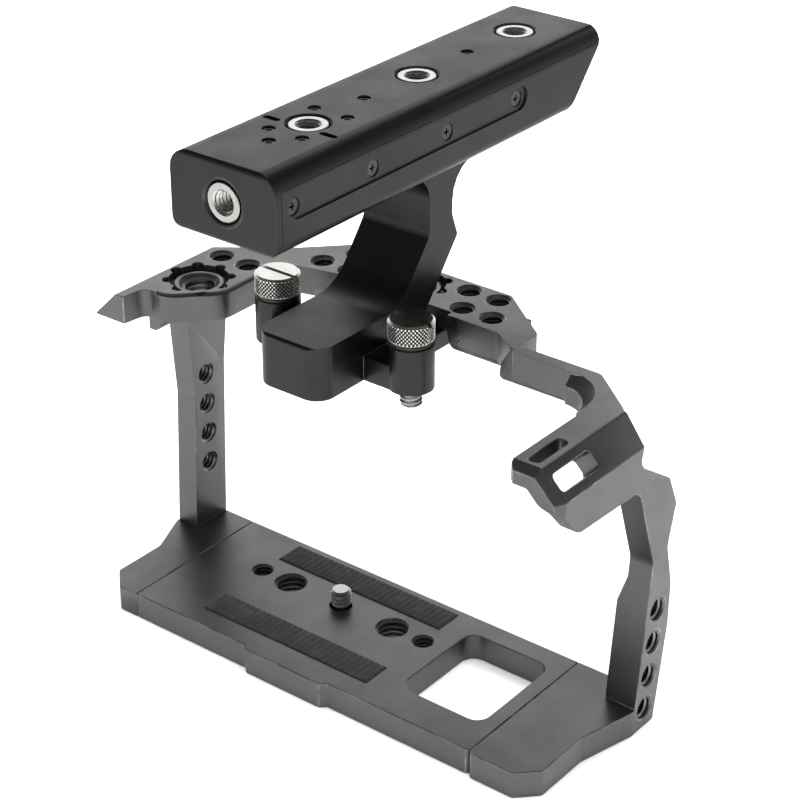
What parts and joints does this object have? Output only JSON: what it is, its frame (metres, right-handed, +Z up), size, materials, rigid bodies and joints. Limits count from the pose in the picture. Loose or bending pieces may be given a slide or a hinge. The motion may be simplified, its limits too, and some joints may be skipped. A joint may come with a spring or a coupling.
{
  "type": "camera cage",
  "caption": "Aluminium camera cage with a bolted bottom plate, threaded accessory rows, a raised top handle and captive thumbscrews.",
  "frame": {"origin": "middle of the pair of small tripod threads in the underside, on the camera screw's axis", "axes": "+Z up, +Y forward along the lens, +X to the camera's right-hand grip side, seen from behind"},
  "size_m": [0.1642, 0.1411, 0.1597],
  "materials": {
    "frame_metal": "dark grey anodised, fine blasted",
    "handle_metal": "satin black anodised",
    "cover_metal": "satin black anodised",
    "bright_steel": "turned stainless steel",
    "dark_steel": "black oxide",
    "pad_rubber": "matt, fine ribs",
    "washer_nylon": "matt black nylon"
  },
  "bodies": {
    "cage": {"cage_frame": "frame_metal", "bottom_plate": "frame_metal", "handle_frame": "handle_metal", "right_cover": "cover_metal", "left_cover": "cover_metal", "plate_screws": "dark_steel", "handle_screws": "dark_steel", "right_cover_screws": "dark_steel", "left_cover_screws": "dark_steel", "top_set_screws": "dark_steel", "rear_pad": "pad_rubber", "front_pad": "pad_rubber", "rear_top_insert": "bright_steel", "middle_top_insert": "bright_steel", "front_top_insert": "bright_steel", "end_insert": "bright_steel"},
    "left_collar": {"left_washer": "washer_nylon", "left_clip": "bright_steel"},
    "left_thumbscrew": {"left_thumbscrew": "bright_steel"},
    "right_collar": {"right_washer": "washer_nylon", "right_clip": "bright_steel"},
    "right_thumbscrew": {"right_thumbscrew": "bright_steel"},
    "camera_screw_collar": {"camera_screw_washer": "washer_nylon"},
    "camera_screw": {"camera_screw": "bright_steel"}
  },
  "joints": [
    {"name": "left_thumbscrew_rise", "type": "slide", "parent": "cage", "child": "left_collar", "axis": [0, 0, 1], "range_m": [0, 0.00508]},
    {"name": "left_thumbscrew_turn", "type": "hinge", "parent": "left_collar", "child": "left_thumbscrew", "pos_m": [-0.02335, 0.0028, 0.1], "axis": [0, 0, 1], "range_deg": [0, 1440.5]},
    {"name": "right_thumbscrew_rise", "type": "slide", "parent": "cage", "child": "right_collar", "axis": [0, 0, 1], "range_m": [0, 0.00508]},
    {"name": "right_thumbscrew_turn", "type": "hinge", "parent": "right_collar", "child": "right_thumbscrew", "pos_m": [0.02335, 0.0028, 0.1], "axis": [0, 0, 1], "range_deg": [0, 1440.5]},
    {"name": "camera_screw_drop", "type": "slide", "parent": "cage", "child": "camera_screw_collar", "axis": [0, 0, -1], "range_m": [0, 0.00508]},
    {"name": "camera_screw_turn", "type": "hinge", "parent": "camera_screw_collar", "child": "camera_screw", "pos_m": [0, 0, 0.004], "axis": [0, 0, -1], "range_deg": [0, 1440.5]}
  ],
  "couplings": [
    {"joint": "left_thumbscrew_turn", "follows": "left_thumbscrew_rise", "rad_per_m": 4947.4},
    {"joint": "right_thumbscrew_turn", "follows": "right_thumbscrew_rise", "rad_per_m": 4947.4},
    {"joint": "camera_screw_turn", "follows": "camera_screw_drop", "rad_per_m": 4947.4}
  ]
}
